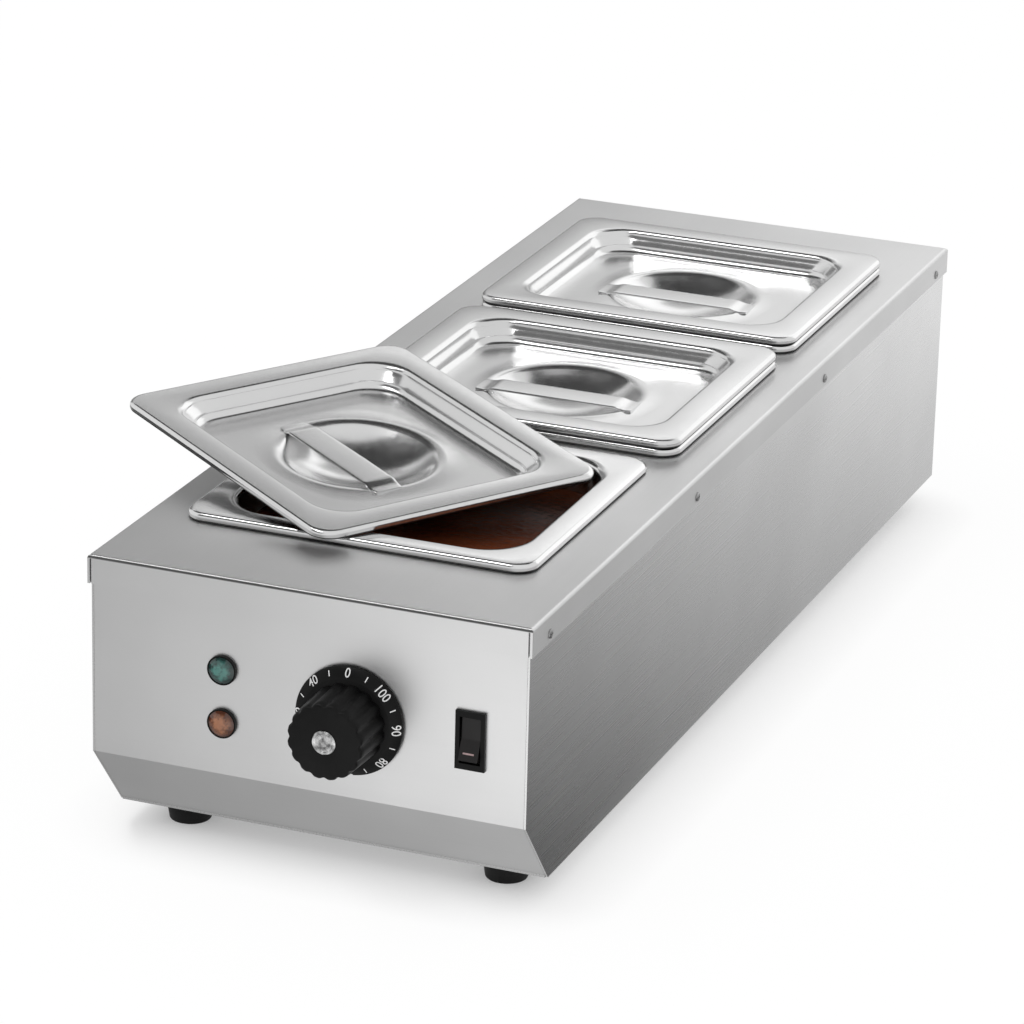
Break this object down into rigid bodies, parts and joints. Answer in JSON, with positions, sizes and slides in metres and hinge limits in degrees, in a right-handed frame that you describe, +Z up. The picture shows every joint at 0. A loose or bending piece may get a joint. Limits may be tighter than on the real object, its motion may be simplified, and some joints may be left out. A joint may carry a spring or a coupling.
{
  "type": "chocolate melting tank",
  "caption": "Countertop stainless chocolate melter: long housing with lift-out pans in a heated well, pressed lids with strap handles, thermostat knob, lamps and rocker switch.",
  "frame": {"origin": "centre of the raised panel in the base plate, on its underside", "axes": "+X to the right as seen from the controls, +Y to the back, +Z up"},
  "size_m": [0.2688, 0.6763, 0.1704],
  "materials": {
    "housing_steel": "satin brushed",
    "pan_steel": "bright satin",
    "fastener_steel": "bright zinc",
    "cap_metal": "spun bright",
    "element_sheath": "oxidised",
    "copper": "bare copper",
    "black_plastic": "satin",
    "ivory_plastic": "matte",
    "loom_sleeve": "woven sleeve",
    "foot_rubber": "matte",
    "green_lens": "clear tinted",
    "amber_lens": "clear tinted",
    "chocolate": "melted, glossy"
  },
  "bodies": {
    "housing": {"top_cover": "housing_steel", "front_panel": "housing_steel", "left_side_panel": "housing_steel", "right_side_panel": "housing_steel", "back_panel": "housing_steel", "base_plate": "housing_steel", "rubber_feet": "foot_rubber", "foot_screws": "fastener_steel", "foot_nuts": "fastener_steel", "cover_screws": "fastener_steel", "heated_well": "pan_steel", "heating_element": "element_sheath", "clamp_bars": "fastener_steel", "clamp_nuts": "fastener_steel", "thermostat_body": "ivory_plastic", "thermostat_screws": "fastener_steel", "sensing_bulb": "copper", "bulb_clip": "fastener_steel", "capillary_tube": "copper", "green_lens": "green_lens", "amber_lens": "amber_lens", "lamp_bodies": "black_plastic", "lamp_nuts": "fastener_steel", "switch_housing": "black_plastic", "switch_tabs": "fastener_steel", "rocker_pin": "fastener_steel", "cable_gland": "black_plastic", "gland_cap": "black_plastic", "gland_nut": "black_plastic", "terminal_block": "ivory_plastic", "wiring_loom": "loom_sleeve", "pan_1": "pan_steel", "chocolate": "chocolate"},
    "knob": {"thermostat_spindle": "fastener_steel", "dial_ring": "black_plastic", "knob_grip": "black_plastic", "knob_cap": "cap_metal"},
    "rocker": {"switch_rocker": "black_plastic"},
    "middle_pan": {"pan_2": "pan_steel"},
    "back_pan": {"pan_3": "pan_steel"},
    "front_lid": {"lid_1": "pan_steel", "lid_handle_1": "pan_steel"},
    "middle_lid": {"lid_2": "pan_steel", "lid_handle_2": "pan_steel"},
    "back_lid": {"lid_3": "pan_steel", "lid_handle_3": "pan_steel"}
  },
  "joints": [
    {"name": "knob_turn", "type": "hinge", "parent": "housing", "child": "knob", "pos_m": [0.022, -0.3135, 0.0735], "axis": [0, 1, 0], "range_deg": [0, 270]},
    {"name": "rocker_tilt", "type": "hinge", "parent": "housing", "child": "rocker", "pos_m": [0.081, -0.3115, 0.0735], "axis": [1, 0, 0], "range_deg": [0, 24]},
    {"name": "middle_pan_lift", "type": "slide", "parent": "housing", "child": "middle_pan", "axis": [0, 0, 1], "range_m": [0, 0.12]},
    {"name": "back_pan_lift", "type": "slide", "parent": "housing", "child": "back_pan", "axis": [0, 0, 1], "range_m": [0, 0.12]},
    {"name": "middle_lid_lift", "type": "slide", "parent": "middle_pan", "child": "middle_lid", "axis": [0, 0, 1], "range_m": [0, 0.08]},
    {"name": "back_lid_lift", "type": "slide", "parent": "back_pan", "child": "back_lid", "axis": [0, 0, 1], "range_m": [0, 0.08]},
    {"name": "front_lid_lift", "type": "slide", "parent": "middle_lid", "child": "front_lid", "axis": [0, 0, 1], "range_m": [0, 0.08]}
  ]
}
